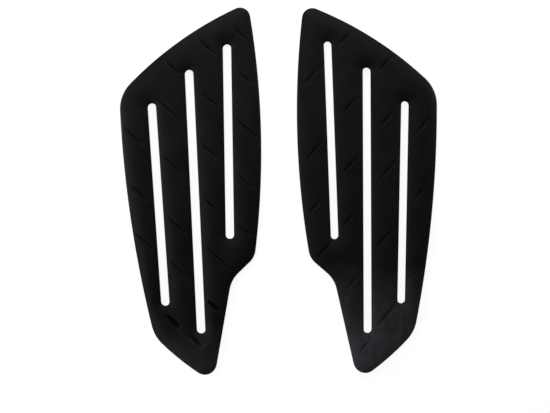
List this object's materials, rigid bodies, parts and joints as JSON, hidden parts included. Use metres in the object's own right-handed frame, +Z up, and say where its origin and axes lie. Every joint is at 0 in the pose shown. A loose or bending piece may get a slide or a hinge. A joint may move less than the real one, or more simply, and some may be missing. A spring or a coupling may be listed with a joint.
{
  "type": "traction pad pair",
  "caption": "Left and right stick-on rubber traction pads, each with long see-through slots, rounded ribs and slanted grooves, foam tape and a split release liner.",
  "frame": {"origin": "bottom centre of the pair's bounding box, on the surface that the pads lie on", "axes": "+X from the left pad to the right pad, +Y towards the heads (wide ends), +Z up out of the ribbed faces"},
  "size_m": [0.2, 0.2318, 0.0065],
  "materials": {
    "rubber": "matt black soft-touch moulded rubber",
    "adhesive_foam": "dark grey closed-cell foam tape",
    "release_liner": "silicone-coated pale release paper"
  },
  "bodies": {
    "left_pad": {"left_pad": "rubber", "left_adhesive": "adhesive_foam"},
    "right_pad": {"right_pad": "rubber", "right_adhesive": "adhesive_foam"},
    "left_liner_head": {"left_liner_head": "release_liner"},
    "left_liner_tail": {"left_liner_tail": "release_liner"},
    "right_liner_head": {"right_liner_head": "release_liner"},
    "right_liner_tail": {"right_liner_tail": "release_liner"}
  },
  "joints": [
    {"name": "right_pad_apart", "type": "slide", "parent": "left_pad", "child": "right_pad", "axis": [1, 0, 0], "range_m": [0, 0.1]},
    {"name": "left_head_peel", "type": "slide", "parent": "left_pad", "child": "left_liner_head", "axis": [-0.0471, 0.9989, 0], "range_m": [0, 0.125]},
    {"name": "left_tail_peel", "type": "slide", "parent": "left_pad", "child": "left_liner_tail", "axis": [0.0471, -0.9989, 0], "range_m": [0, 0.115]},
    {"name": "right_head_peel", "type": "slide", "parent": "right_pad", "child": "right_liner_head", "axis": [-0.0052, 1, 0], "range_m": [0, 0.125]},
    {"name": "right_tail_peel", "type": "slide", "parent": "right_pad", "child": "right_liner_tail", "axis": [0.0052, -1, 0], "range_m": [0, 0.115]}
  ]
}
